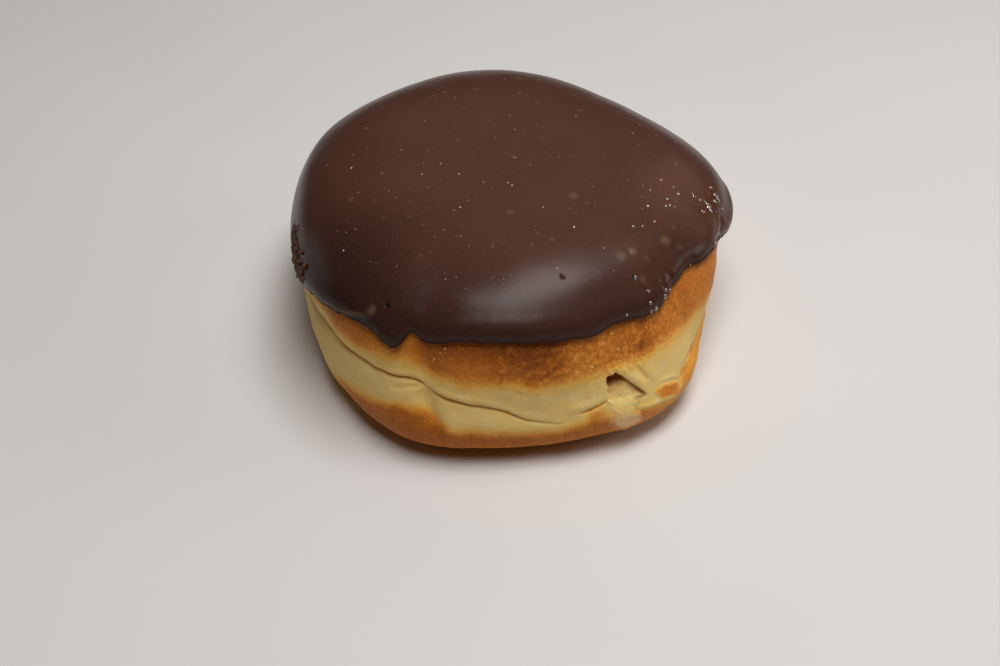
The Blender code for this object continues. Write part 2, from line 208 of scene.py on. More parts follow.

# Folds of the icing: half width, relief, paleness or, if negative, darkness, which is painted shade in pits,
# and the path of each
ICING_STROKES = (
    (0.35, 0.16, 1.2, ((-142.7, 30), (-138.8, 31), (-133.7, 31.6), (-130, 32.7), (-126.5, 33.5))),
    (0.9, 0.35, 0.5, ((-126.6, 34.4), (-125.6, 33.6))),
    (0.45, -0.45, 0, ((-11.3, 33.9), (-13.4, 33.1), (-15.7, 32.7), (-20.7, 33.8))),
    (0.35, 0.25, 1, ((-9.8, 35), (-12.6, 34.6), (-15, 33.9), (-18.5, 34.2), (-23, 34.8))),
    (0.7, -0.6, -0.8, ((-12, 35.8), (-13.2, 35.3))),
    (1.5, 0.6, 0, ((6, 31.5), (-3.3, 29.8), (-9, 29.8), (-13, 31))),
    (0.9, -1.3, 0, ((-172.6, 31.5), (-171.8, 29.5), (-171.2, 27))),
)

# Round marks on the icing: azimuth, distance from the middle, radius and strength
ICING_BUBBLES = (
    (-45.6, 21.3, 1.15, 1), (-87, 20.5, 0.95, 0.9), (-76.2, 27.8, 0.7, 0.6), (-71.1, 30.1, 0.7, 0.7),
    (-80, 30.7, 0.6, 0.6), (-44.3, 24.8, 0.6, 0.6), (-36.3, 42.5, 1.2, 1), (-34.7, 45.2, 0.9, 0.4),
    (-47.5, 39.9, 1, 1.2), (-51.4, 39.6, 1.4, 0.7), (-30.7, 42.2, 0.5, 0.8), (-45.5, 42.5, 0.9, 0.4),
    (-50.7, 45.1, 0.8, 0.7), (-162.5, 35.5, 0.8, 0.8), (-155.2, 31.3, 0.6, 0.6), (-146.8, 19.9, 0.5, 0.6),
    (-142.9, 25.6, 0.6, 0.5), (-143.1, 32.4, 0.6, 0.5), (-112.2, 16.8, 0.5, 0.4), (-95.3, 30.4, 0.5, 0.4),
    (-119.9, 35.9, 0.6, 0.6), (-125.2, 48.9, 0.9, 0.9), (46.1, 26.3, 0.9, 0.5), (68.7, 22.8, 0.7, 0.5),
    (83.2, 34.9, 0.9, 0.5), (102.3, 29.2, 0.8, 0.6), (115.2, 30.9, 0.7, 0.6), (123, 31.1, 0.6, 0.5),
    (122.3, 39.8, 0.9, 0.6), (134.1, 41.9, 0.8, 0.6), (114.5, 21.8, 0.6, 0.5),
)
# Patches of colour on the icing, as azimuth, distance from the middle, radius and strength; the broad last
# two, at the right, are painted light where more light falls on that side
ICING_PATCHES_AND_LIGHT = (
    (-31.4, 38.8, 2.4, 0.7), (-34, 41, 2.6, 0.5), (-45.7, 38.3, 2.2, 0.7), (-20.9, 44.3, 2.4, 0.3),
    (-48, 41.5, 2.4, 0.4), (-14, 42, 14, 0.9), (-45, 43, 8, 0.3),
)
# Pinholes, painted near black as the shade inside them
ICING_PINHOLES = ((-121.9, 47.4, 0.7, 1.0), (-73.0, 39.4, 0.5, 1.0), (-52.8, 44.1, 0.5, 1.0))
WET_SPOTS = (
    (-7, 47, 2.2, 1), (-12, 46, 2.2, 1), (-12.2, 44, 1.6, 0.8), (-8.7, 48.4, 1.4, 0.8), (-17, 45, 1.2, 0.6),
    (-17.7, 42.7, 1.4, 0.5),
)
BUBBLE_RISE, BUBBLE_PALENESS, PINHOLE_DEPTH = 0.08, 0.5, 0.3
PATCH_STRENGTH, PATCH_LEVEL, MARK_CORE, MARK_REACH = 0.5, 0.6, 0.2, 1.3

# Custard: sections along the line through the mouth, as distance, half width, half height and height
CUSTARD_SECTIONS = (
    (-26, 0, 0, 20.5), (-23.5, 10.5, 5.2, 20.5), (-13, 22.2, 8.8, 20.5), (0, 25.8, 10, 20.5),
    (13, 21.8, 8.8, 20), (23, 11, 6.2, 18.4), (32, 6.4, 4.6, 16.8), (41, 4.6, 3.6, 16.6),
)
FILLING_CENTRE = (0.2, 0.7)
CUSTARD_COLUMNS, CUSTARD_BODY_ROWS, CUSTARD_NECK_ROWS, CUSTARD_CAP_ROWS = 120, 90, 14, 44

# The custard's end in the mouth: its middle, how far it reaches past the mouth's outline, and how deep it
# lies in the hollow at the upper left and in the slit under the flap, where it is darkened as painted shade
CAP_MIDDLE, CAP_MARGIN = (-62.3, 16.3), 0.3
HOLLOW_FROM, HOLLOW_TO = (-66.6, 16.7), (-61.6, 17.8)
HOLLOW_DEPTH, HOLLOW_RISE, HOLLOW_SHADE_RISE = 7.0, 2.2, (-1.2, 1.0)
SLIT_PATH = ((-62.0, 18.9), (-60.1, 17.1), (-58.4, 15.1), (-57.2, 13.3), (-58.8, 13.2), (-60.3, 13.3))
SLIT_DEPTH, SLIT_HALF_WIDTH = 0.55, 0.45
SLIT_SHADE, SLIT_SHADE_HALF_WIDTH = 0.65, 1.1
CAP_SET_BACK, CAP_FLUSH_HEIGHTS = 0.45, (13.0, 15.0)

# Thin custard that has run out of the mouth: its middle, its outline and the drip at its lower end
SMEAR_MIDDLE = (-62.6, 9.2)
SMEAR_OUTLINE = (
    (-66.9, 15.3), (-67.3, 13), (-68.3, 10.7), (-67.2, 8.2), (-64.3, 5.6), (-61.7, 2.9), (-60, 4.4),
    (-57.2, 4.4), (-56.1, 6.2), (-57.8, 9.2), (-59.9, 11.6), (-61.6, 13.6), (-63.8, 14.4),
)
SMEAR_THICKNESS, SMEAR_SUNK, SMEAR_COLUMNS, SMEAR_ROWS = 0.45, 0.3, 120, 34
SMEAR_REACH, SMEAR_TOP_HEIGHTS, SMEAR_TOP_SUNK = 4.0, (13.0, 15.2), 1.2
SMEAR_FRESH_HEIGHTS, SMEAR_FRESH_LOSS = (9.0, 13.0), 0.5
SMEAR_COVERING, SMEAR_COVER, SMEAR_BARE = 0.95, 2.6, 0.15
DRIP_PLACE, DRIP_RADIUS, DRIP_RISE = (-61.7, 4.0), 1.0, 1.1

# Grains and crumbs, as azimuth and distance from the middle on the icing, or azimuth and height on the dough
# Pale grains on the icing, some of them put where it glints, as painted glints
SUGAR_AND_GLINT_PLACES = (
    (-144.1, 12.2), (-117.7, 20.6), (-144.1, 43), (170.6, 23.3), (153.8, 35), (178.9, 34.1), (-161.4, 19),
    (-112.8, 11.3), (-85.4, 10.8), (-81.9, 12.1), (-169, 14.1), (-59.8, 28.7), (72.6, 9.5), (-37.5, 3.3),
    (-24.9, 38.4), (-23.4, 39.2), (-22.5, 39.9), (-40.2, 35.9), (-37.8, 37), (-13, 38.4), (-20.6, 38),
    (-16, 39.6), (-11.8, 35.5), (-20.1, 33.9), (-28.8, 35.2), (-33.2, 38.4), (-52.2, 44.1), (-35.4, 48.9),
)
# Pale grains on the crust, put where it glints: painted glints
CRUST_GLINT_PLACES = (
    (-134.8, 24.1), (-131.2, 24.7), (-126.8, 29.6), (-115.4, 26.5), (-109, 25.9), (-108.3, 26.7),
    (-106.9, 28.3), (-105.6, 29.6), (-111.3, 30.4), (-73.9, 26.5), (-69.8, 23.7), (-65.9, 28.3),
    (-63.5, 29.6), (-76.4, 29.1), (-62.4, 25.8), (-61.5, 22.3), (-52.1, 15.8), (-44.7, 10.1), (-48, 20.9),
)

# Wet glints on the icing: azimuth, distance from the middle, height and radius
WET_BEADS = (
    (-6.4, 47.6, 35.8, 0.75), (-7.3, 48.1, 35.4, 0.7), (-8.5, 47.5, 35.8, 0.6), (-12.9, 46.5, 36.4, 0.8),
    (-11.9, 46.1, 36.7, 0.6), (-13.6, 46.8, 36.2, 0.7), (-12.5, 42.9, 39, 0.5), (-11.7, 42.5, 39.1, 0.35),
    (-12.5, 44.2, 38.1, 0.4), (-16.6, 45.3, 37.5, 0.45), (-4.2, 46.5, 36.9, 0.45), (-8.5, 49.1, 33.9, 0.5),
    (-12.2, 45.5, 37.3, 0.4), (-45.8, 48.1, 33.9, 0.4), (-44.2, 48.8, 33, 0.4), (-46.9, 48.7, 32.9, 0.5),
    (-50.1, 49.5, 31.2, 0.55), (-52, 49.4, 31.3, 0.45), (-59.2, 48.3, 33.2, 0.3), (-50.9, 47.1, 35, 0.35),
    (-51.9, 48.4, 33.1, 0.4), (-23.2, 49.9, 34, 0.45), (-18.7, 49.5, 33.6, 0.4),
)
BEAD_FLATNESS, BEAD_ROUGHNESS = 0.4, 0.12

# Sizes and shapes of the grains and crumbs, and the line on which the icing is torn
SUGAR_RADII, FINE_SUGAR_COUNT, FINE_SUGAR_RADII, FINE_SUGAR_REACH = (0.14, 0.26), 100, (0.06, 0.12), 42.0
CRUST_GLINT_RADII = (0.14, 0.26)
CRUMB_COUNT, CRUMB_RADII, CRUMB_OUT = 260, (0.3, 0.7), (-0.6, 0.35)
CRUMB_FROM, CRUMB_TO, CRUMB_SPREAD = (-169.5, 29.8), (-153.0, 27.8), 1.0
GRAIN_STRETCH, GRAIN_FLATNESS, GRAIN_ROUGHNESS, GRAIN_ROUGHNESS_SIZE = (0.8, 1.5), 0.7, 0.3, 0.4
GRAIN_SUBDIVISIONS, GRAIN_SEED = 2, 23

# Linear colours, where those with a place are the stops of a ramp
CRUST_COLOURS = (
    (0.0, (0.82, 0.56, 0.185)),
    (0.2, (0.82, 0.515, 0.142)),
    (0.4, (0.82, 0.4, 0.07)),
    (0.6, (0.66, 0.225, 0.028)),
    (0.8, (0.42, 0.118, 0.013)),
    (1.0, (0.22, 0.055, 0.008)),
)
CRUMB_COLOUR = (0.84, 0.64, 0.31)
ICING_COLOURS = ((0.25, (0.07, 0.0275, 0.0178)), (0.75, (0.09, 0.0352, 0.0228)))
ICING_SIDE_SHADE_COLOUR = (0.03, 0.0118, 0.0078)
FLECK_STOPS = ((0.62, (0.0, 0.0, 0.0)), (0.74, (1.0, 1.0, 1.0)))
FLECK_COLOUR, FLECK_STRENGTH = (0.2, 0.115, 0.075), 0.12
ICING_MARK_COLOURS = {"patch_and_painted_light": (0.15, 0.05, 0.018), "bubble": (0.185, 0.1, 0.06), "pit_shade": (0.01, 0.004, 0.003)}
CUSTARD_COLOURS = ((0.3, (0.87, 0.58, 0.2)), (0.7, (0.94, 0.68, 0.26)))
# Dark brown painted shade on the custard, deep in the hollow and under the flap
RECESS_SHADE_COLOUR = (0.34, 0.13, 0.026)
FILM_COLOURS = ((0.1, (0.74, 0.36, 0.11)), (0.6, (0.82, 0.52, 0.24)))
FRESH_COLOUR = (0.9, 0.63, 0.24)
SUGAR_AND_GLINT_COLOURS = ((0.35, (0.34, 0.25, 0.18)), (0.65, (0.78, 0.74, 0.68)))
WET_COLOURS = ((0.35, (0.09, 0.036, 0.022)), (0.65, (0.12, 0.05, 0.03)))
CRUST_GLINT_COLOURS = ((0.35, (0.76, 0.42, 0.16)), (0.65, (0.88, 0.62, 0.34)))
TORN_COLOURS = ((0.35, (0.04, 0.012, 0.004)), (0.65, (0.105, 0.036, 0.01)))
FLOOR_COLOURS = ((0.3, (0.7203, 0.6909, 0.6664)), (0.7, (0.735, 0.705, 0.68)))

# Shader values: contrast of the crust's mottling, its pale crumb, and the roughness of each surface
BROWN_CONTRAST, PALE_CONTRAST, CRUMB_FADE, CRUMB_SHARE = 0.85, 0.28, 1.6, 0.15
CRUST_ROUGHNESS, CRUST_GLOSS, CRUST_UNEVENNESS = 0.68, 0.25, 0.5
ICING_ROUGHNESS, ICING_UNEVENNESS, UNDERSIDE_ROUGHNESS = 0.23, 0.06, 0.6
CUSTARD_ROUGHNESS, CUSTARD_UNEVENNESS, FILM_ROUGHNESS, FILM_UNEVENNESS = 0.4, 0.2, 0.38, 0.3
NOISE_ROUGHNESS = 0.6

# Meshes: columns round the doughnut, crowded at the front and at the mouth, and rows of each stretch
DOUGH_COLUMNS, ICING_COLUMNS = 640, 560
FRONT_AZIMUTH, FRONT_HALF_TURN, FRONT_CROWDING = -84.0, 70.0, 1.4
MOUTH_HALF_TURN, MOUTH_CROWDING = 9.0, 2.0
FOOT_ROWS, LOW_ROWS, HIGH_ROWS, TOP_ROWS = 6, 46, 78, 10
ROW_CROWDING, PROFILE_SAMPLES, TURN_SAMPLES = 1.3, 2600, 7201
ICING_TOP_ROWS, ICING_RIM_ROWS, ICING_INNER_ROWS, RIM_ROW_START, RIM_ROW_SHARE = 150, 10, 12, 0.9, 0.5

# Camera, picture and surrounding
LENS, SENSOR_WIDTH = 54.18, 36.0
CAMERA_TARGET, CAMERA_DISTANCE = (-2.67, -19.68, 9.92), 344.5
CAMERA_ELEVATION, CAMERA_ROLL = 42.3, -1.37
VIEW_TRANSFORM = "Standard"
WORLD_COLOUR, WORLD_STRENGTH = (0.93, 0.96, 1.0), 0.01

# Lights: name, place, size of the lit rectangle and power in watts
LIGHTS = (
    ("overhead", (92.0, -76.0, 620.0), (490.0, 250.0), 3.65),
    ("back", (0.0, 520.0, 450.0), (450.0, 450.0), 0.14),
    ("back_right", (430.0, 430.0, 400.0), (400.0, 400.0), 0.28),
    ("right", (610.0, 40.0, 260.0), (260.0, 260.0), 0.62),
    ("low_left", (-620.0, 260.0, 120.0), (260.0, 260.0), 0.12),
)
LIGHT_TARGET = (0.0, 0.0, 20.0)
FLOOR_SIZE = 4000.0


def smooth_curve(at, points, period=None):
    """Values of the smooth curve through points of place and value, which repeats after any period given."""
    places, values = np.array(points, float).T
    at = np.asarray(at, float)
    if period:
        places = np.concatenate((places[-2:] - period, places, places[:2] + period))
        values = np.concatenate((values[-2:], values, values[:2]))
        at = (at - places[2]) % period + places[2]
    slopes = np.gradient(values, places)
    left = np.clip(np.searchsorted(places, at) - 1, 0, len(places) - 2)
    span = places[left + 1] - places[left]
    t = (at - places[left]) / span
    from_left = values[left] * (1 + 2 * t) * (1 - t) ** 2 + slopes[left] * span * t * (1 - t) ** 2
    from_right = values[left + 1] * t * t * (3 - 2 * t) + slopes[left + 1] * span * t * t * (t - 1)
    return from_left + from_right


def round_curve(azimuth, points):
    """Values of the closed smooth curve through points of azimuth and value."""
    return smooth_curve(azimuth, points, FULL_TURN)


def bell(away, half_width):
    """A smooth bump, 1 in the middle and nearly 0 at twice its half width."""
    return np.exp(-((away / half_width) ** 2))


def smooth_step(value, start, end):
    """0 before start, 1 after end and a smooth rise between them."""
    share = np.clip((value - start) / (end - start), 0.0, 1.0)
    return share * share * (3 - 2 * share)


def turn_between(azimuth, centre):
    """Signed angle in degrees from a centre azimuth, within half a turn."""
    return (azimuth - centre + FULL_TURN / 2) % FULL_TURN - FULL_TURN / 2


def turn_bell(azimuth, centre, half_width):
    """A bell round the doughnut, about a centre azimuth."""
    return bell(turn_between(azimuth, centre), half_width)


def sideways(azimuth, centre):
    """Distance round the side from a centre azimuth."""
    return turn_between(azimuth, centre) * SIDE_MM_PER_DEGREE


def outward(azimuth):
    """Level direction that points outwards at an azimuth."""
    turn = math.radians(azimuth)
    return np.array((math.cos(turn), math.sin(turn), 0.0))


def lumps(azimuth, named_lumps):
    """Radial height of the outline's lumps and flats at an azimuth."""
    return sum(height * turn_bell(azimuth, centre, width) for centre, width, height in named_lumps)


def noise_field(points, size, seed):
    """Smooth random values between about -1 and 1 at points, with features of a size."""
    places = (points.reshape(-1, 3) / size + seed * NOISE_STRIDE).tolist()
    values = np.fromiter((noise.noise(place) for place in places), float, len(places))
    return values.reshape(points.shape[:-1])


def waves(points, field):
    """Heights at points of a field of smooth noise: the sum of its layers."""
    first_seed, *layers = field
    seeded = enumerate(layers, first_seed)
    return sum(height * noise_field(points, size, seed) for seed, (size, height) in seeded)


def profile_table():
    """Lengths along the dough's profile, from the middle of the foot, with the radius and height at each."""
    stations = np.arange(len(DOUGH_PROFILE))
    fine = np.linspace(0, stations[-1], PROFILE_SAMPLES)
    radii, heights = np.array(DOUGH_PROFILE).T
    radius = np.maximum(smooth_curve(fine, tuple(zip(stations, radii))), 0.0)
    height = np.maximum(smooth_curve(fine, tuple(zip(stations, heights))), 0.0)
    steps = np.hypot(np.diff(radius), np.diff(height))
    return np.concatenate(([0.0], np.cumsum(steps))), radius, height


def arc_of_height(height):
    """Length along the profile at which its side has a height."""
    arcs, radii, heights = profile_table()
    side = arcs >= DOUGH_PROFILE[1][0]
    return np.interp(height, heights[side], arcs[side])


def crowded_azimuths(columns):
    """Azimuths of a mesh's columns, closer together round the front and closest at the mouth."""
    fine = np.linspace(-FULL_TURN / 2, FULL_TURN / 2, TURN_SAMPLES)
    density = 1.0 + FRONT_CROWDING * turn_bell(fine, FRONT_AZIMUTH, FRONT_HALF_TURN)
    density += MOUTH_CROWDING * turn_bell(fine, MOUTH_AZIMUTH, MOUTH_HALF_TURN)
    total = np.concatenate(([0.0], np.cumsum((density[1:] + density[:-1]) / 2)))
    return np.interp(np.arange(columns) / columns * total[-1], total, fine)


def round_points(azimuth, radius, height):
    """Points at azimuths, radii and heights about the doughnut's own middle."""
    turn = np.radians(azimuth)
    x = OUTLINE_CENTRE[0] + radius * np.cos(turn)
    y = OUTLINE_CENTRE[1] + radius * np.sin(turn)
    return np.stack((x, y, height + 0 * x), axis=-1)


def dough_form(azimuth, arc):
    """Points of the dough's outline form, without its folds, at azimuths and lengths along its profile."""
    arcs, radii, heights = profile_table()
    height = np.interp(arc, arcs, heights)
    rise = smooth_step(height, LOW_HEIGHT, HIGH_HEIGHT)
    outline = lumps(azimuth, LOW_LUMPS) * (1 - rise) + lumps(azimuth, HIGH_LUMPS) * rise
    radius = np.interp(arc, arcs, radii) * (1 + outline / max(radii))
    dimple = DIMPLE_DEPTH * turn_bell(azimuth, DIMPLE_AZIMUTH, DIMPLE_HALF_WIDTH)
    reach = np.where(height > DIMPLE_HEIGHT, DIMPLE_REACH_UP, DIMPLE_REACH_DOWN)
    radius = radius - dimple * bell(height - DIMPLE_HEIGHT, reach)
    return round_points(azimuth, np.maximum(radius, 0.0), height)


def side_form(azimuth, height):
    """Points of the dough's outline form at azimuths and heights of its side."""
    return dough_form(azimuth, arc_of_height(height))


def grid_normals(points):
    """Outward normals of a grid of points whose columns go round the axis and whose rows rise up the side."""
    round_axis = np.roll(points, -1, axis=1) - np.roll(points, 1, axis=1)
    normal = np.cross(round_axis, np.gradient(points, axis=0))
    length = np.linalg.norm(normal, axis=-1, keepdims=True)
    return normal / np.maximum(length, LEAST_LENGTH)


def from_segment(across, height, start, end):
    """Share of the way along a segment to the place on it nearest each point, and how far off that is."""
    run, rise = end[0] - start[0], end[1] - start[1]
    share = ((across - start[0]) * run + (height - start[1]) * rise) / (run**2 + rise**2)
    share = np.clip(share, 0.0, 1.0)
    return share, np.hypot(across - start[0] - share * run, height - start[1] - share * rise)


def path_weight(azimuth, height, path, half_width):
    """How much a place belongs to a stroke along a path: 1 on it, fading to its sides and ends."""
    middle = path[len(path) // 2][0]
    across = sideways(azimuth, middle)
    corners = [(sideways(at, middle), rise) for at, rise in path]
    lengths = [math.dist(*pair) for pair in zip(corners, corners[1:])]
    weight = np.zeros_like(across)
    done = 0.0
    for start, end, length in zip(corners, corners[1:], lengths):
        share, away = from_segment(across, height, start, end)
        along = (done + share * length) / sum(lengths)
        taper = (4 * along * (1 - along)) ** TAPER_POWER * (1 - TAPER_END) + TAPER_END
        weight = np.maximum(weight, bell(away, half_width) * taper)
        done += length
    return weight


def inside_distance(across, height, corners):
    """Distance inside a polygon's outline, negative outside it."""
    away = np.full(across.shape, np.inf)
    inside = np.zeros(across.shape, bool)
    for start, end in zip(corners, corners[1:] + corners[:1]):
        away = np.minimum(away, from_segment(across, height, start, end)[1])
        if start[1] != end[1]:
            crossing = (end[0] - start[0]) * (height - start[1]) / (end[1] - start[1]) + start[0]
            inside ^= ((start[1] > height) != (end[1] > height)) & (across < crossing)
    return np.where(inside, away, -away)


def grid_mesh(name, points):
    """Closed mesh of a grid of points: rows from pole to pole, columns round the axis."""
    rows, columns = points.shape[:2]
    index = np.arange((rows - 2) * columns).reshape(rows - 2, columns)
    following = np.roll(index, -1, axis=1)
    quads = np.stack((index[:-1], following[:-1], following[1:], index[1:]), axis=-1).reshape(-1, 4)
    first, last = index.size, index.size + 1
    bottom = [(first, after, here) for here, after in zip(index[0].tolist(), following[0].tolist())]
    top = [(last, here, after) for here, after in zip(index[-1].tolist(), following[-1].tolist())]
    vertices = np.concatenate((points[1:-1].reshape(-1, 3), points[0, :1], points[-1, :1])) * MM
    mesh = bpy.data.meshes.new(name)
    mesh.from_pydata(vertices.tolist(), [], quads.tolist() + bottom + top)
    mesh.shade_smooth()
    return mesh


def add_object(name, data):
    """A new object in the scene."""
    made = bpy.data.objects.new(name, data)
    bpy.context.scene.collection.objects.link(made)
    return made


def add_piece(name, mesh, material, replaced=None):
    """Add a piece of the doughnut to the scene, riding on its one body."""
    piece = add_object(name, mesh)
    mesh.materials.append(material)
    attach(piece, "root")
    if replaced:
        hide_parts(replaced)


def add_grid(name, points, looks, material, replaced=None):
    """Add a closed grid of points as a piece, with grids of values painted on it as named attributes."""
    mesh = grid_mesh(name, points)
    for label, values in looks.items():
        flat = np.concatenate((values[1:-1].ravel(), values[0, :1], values[-1, :1]))
        mesh.attributes.new(label, "FLOAT", "POINT").data.foreach_set("value", flat.astype(np.float32))
    add_piece(name, mesh, material, replaced)


def add_node(tree, kind, inputs=None, **settings):
    """Add a shader node with its settings, and its inputs as values or as other nodes' outputs."""
    made = tree.nodes.new(kind)
    for name, value in settings.items():
        setattr(made, name, value)
    for name, value in (inputs or {}).items():
        if isinstance(value, bpy.types.NodeSocket):
            tree.links.new(value, made.inputs[name])
        else:
            made.inputs[name].default_value = value
    return made


def new_material(name, **plain_inputs):
    """A new node material, with the plain values of its main shader."""
    material = bpy.data.materials.new(name)
    material.use_nodes = True
    shader = material.node_tree.nodes["Principled BSDF"]
    for label, value in plain_inputs.items():
        shader.inputs[label.replace("_", " ")].default_value = value
    return material, material.node_tree, shader


def drive(tree, shader, **outputs):
    """Link other nodes' outputs to the inputs of a shader."""
    for label, output in outputs.items():
        tree.links.new(output, shader.inputs[label.replace("_", " ")])


def attribute(tree, name):
    """Output of a painted attribute."""
    return add_node(tree, "ShaderNodeAttribute", attribute_name=name).outputs["Fac"]


def colour_ramp(tree, factor, stops):
    """Colour for a factor, from stops of place and colour."""
    ramp = add_node(tree, "ShaderNodeValToRGB", {"Fac": factor})
    elements = ramp.color_ramp.elements
    while len(elements) < len(stops):
        elements.new(0.5)
    for element, (place, colour) in zip(elements, stops):
        element.position = place
        element.color = (*colour, 1.0)
    return ramp.outputs["Color"]


def scaled(tree, value, factor, offset=0.0):
    """A value times a factor plus an offset, each of them a number or an output."""
    inputs = {0: value, 1: factor, 2: offset}
    return add_node(tree, "ShaderNodeMath", inputs, operation="MULTIPLY_ADD").outputs[0]


def added(tree, first, second):
    """Sum of two values or outputs."""
    return scaled(tree, first, 1.0, second)


def object_noise(tree, size, detail):
    """Noise with features of a size in millimetres, fixed to the object, between 0 and 1."""
    coordinates = add_node(tree, "ShaderNodeTexCoord").outputs["Object"]
    values = {"Vector": coordinates, "Scale": 1.0 / (size * MM), "Detail": detail}
    values["Roughness"] = NOISE_ROUGHNESS
    return add_node(tree, "ShaderNodeTexNoise", values).outputs["Fac"]


def level_noise(tree, size, detail, reach):
    """Noise about zero, between a reach below it and a reach above it."""
    return scaled(tree, object_noise(tree, size, detail), 2 * reach, -reach)


def mix_colours(tree, factor, first, second):
    """Blend by a factor of an output colour, on the mixer's socket 6, and a plain or output one, on its 7."""
    if not isinstance(second, bpy.types.NodeSocket):
        second = (*second, 1.0)
    inputs = {0: factor, 6: first, 7: second}
    return add_node(tree, "ShaderNodeMix", inputs, data_type="RGBA", clamp_factor=True).outputs[2]


def fine_bumps(tree, shader, size, detail, depth):
    """Small noisy relief on a shader's surface, with its feature size and its depth in millimetres."""
    inputs = {"Height": object_noise(tree, size, detail), "Distance": depth * MM}
    drive(tree, shader, Normal=add_node(tree, "ShaderNodeBump", inputs).outputs["Normal"])


def dough_material():
    """Fried dough: cream where it is pale, through gold to brown where it is browned or carries painted
    shade, with oily crust.
    """
    material, tree, shader = new_material(
        "fried_dough",
        Specular_IOR_Level=0.12,
        Subsurface_Weight=0.18,
        Subsurface_Scale=2.2 * MM,
        Subsurface_Radius=(1.0, 0.45, 0.2),
    )
    browning_and_shade = attribute(tree, "browning_and_shade")
    mottle = level_noise(tree, 1.3, 4.0, 0.12)
    spread = added(tree, mottle, level_noise(tree, 5.0, 2.0, 0.07))
    spread = added(tree, spread, level_noise(tree, 0.4, 2.0, 0.28))
    tone = scaled(tree, spread, scaled(tree, browning_and_shade, BROWN_CONTRAST, PALE_CONTRAST), browning_and_shade)
    colour = colour_ramp(tree, tone, CRUST_COLOURS)
    crumb = added(tree, level_noise(tree, 0.7, 4.0, 1.2), level_noise(tree, 3.0, 2.0, 0.8))
    crumb = scaled(tree, browning_and_shade, -CRUMB_FADE, added(tree, crumb, CRUMB_SHARE))
    colour = mix_colours(tree, crumb, colour, CRUMB_COLOUR)
    rough = scaled(tree, mottle, CRUST_UNEVENNESS, scaled(tree, browning_and_shade, -CRUST_GLOSS, CRUST_ROUGHNESS))
    drive(tree, shader, Base_Color=colour, Roughness=rough)
    fine_bumps(tree, shader, 0.5, 3.0, 0.13)
    return material


def icing_material():
    """Set chocolate icing: a soft sheen, faint mottling and paler air bubbles."""
    material, tree, shader = new_material("chocolate_icing", Specular_IOR_Level=0.15)
    mottle = object_noise(tree, 0.5, 3.0)
    shade = scaled(tree, mottle, 0.5, scaled(tree, object_noise(tree, 14.0, 2.0), 0.5))
    colour = colour_ramp(tree, shade, ICING_COLOURS)
    # Painted shade: the icing's side is blended towards a darker colour
    colour = mix_colours(tree, attribute(tree, "side"), colour, ICING_SIDE_SHADE_COLOUR)
    flecks = colour_ramp(tree, object_noise(tree, 0.9, 1.0), FLECK_STOPS)
    colour = mix_colours(tree, scaled(tree, flecks, FLECK_STRENGTH), colour, FLECK_COLOUR)
    # Marks: orange patches, with painted light on the right; pale bubbles; and pinholes painted near black as
    # painted shade
    for name, mark_colour in ICING_MARK_COLOURS.items():
        colour = mix_colours(tree, attribute(tree, name), colour, mark_colour)
    rough = scaled(tree, mottle, ICING_UNEVENNESS, ICING_ROUGHNESS)
    rough = scaled(tree, attribute(tree, "underside"), UNDERSIDE_ROUGHNESS, rough)
    rough = scaled(tree, attribute(tree, "wet"), -WET_SMOOTHNESS, rough)
    drive(tree, shader, Base_Color=colour, Roughness=rough)
    fine_bumps(tree, shader, 0.35, 2.0, 0.02)
    return material


def custard_material():
    """Thick pale custard with a moist gloss."""
    material, tree, shader = new_material(
        "custard_cream",
        Specular_IOR_Level=0.15,
        Subsurface_Weight=0.25,
        Subsurface_Scale=2.0 * MM,
        Subsurface_Radius=(1.0, 0.6, 0.25),
    )
    mottle = object_noise(tree, 1.6, 3.0)
    colour = colour_ramp(tree, mottle, CUSTARD_COLOURS)
    # Painted shade: dark brown where the custard lies deep in the hollow and under the flap
    colour = mix_colours(tree, attribute(tree, "recess_shade"), colour, RECESS_SHADE_COLOUR)
    rough = scaled(tree, mottle, CUSTARD_UNEVENNESS, CUSTARD_ROUGHNESS)
    drive(tree, shader, Base_Color=colour, Roughness=rough)
    fine_bumps(tree, shader, 0.6, 3.0, 0.12)
    return material


def smear_material():
    """Thin custard over crust: whitish where it is thick and the crust's painted colour, painted shade
    included, where it is thin.
    """
    material, tree, shader = new_material(
        "custard_film", Specular_IOR_Level=0.18, Subsurface_Weight=0.12, Subsurface_Scale=1.2 * MM
    )
    streaks = level_noise(tree, 1.1, 3.0, 0.8)
    thickness = attribute(tree, "thickness")
    tone = scaled(tree, streaks, thickness, thickness)
    colour = mix_colours(tree, attribute(tree, "fresh"), colour_ramp(tree, tone, FILM_COLOURS), FRESH_COLOUR)
    crust = colour_ramp(tree, attribute(tree, "browning_and_shade"), CRUST_COLOURS)
    cover = scaled(tree, tone, SMEAR_COVER, -SMEAR_COVER * SMEAR_BARE)
    colour = mix_colours(tree, cover, crust, colour)
    rough = scaled(tree, streaks, FILM_UNEVENNESS, FILM_ROUGHNESS)
    drive(tree, shader, Base_Color=colour, Roughness=rough)
    fine_bumps(tree, shader, 0.7, 2.0, 0.08)
    return material


def grain_material(name, colours, **plain_inputs):
    """Small grains in two colours that vary from place to place."""
    material, tree, shader = new_material(name, **plain_inputs)
    drive(tree, shader, Base_Color=colour_ramp(tree, object_noise(tree, 2.0, 1.0), colours))
    fine_bumps(tree, shader, 0.3, 2.0, 0.03)
    return material


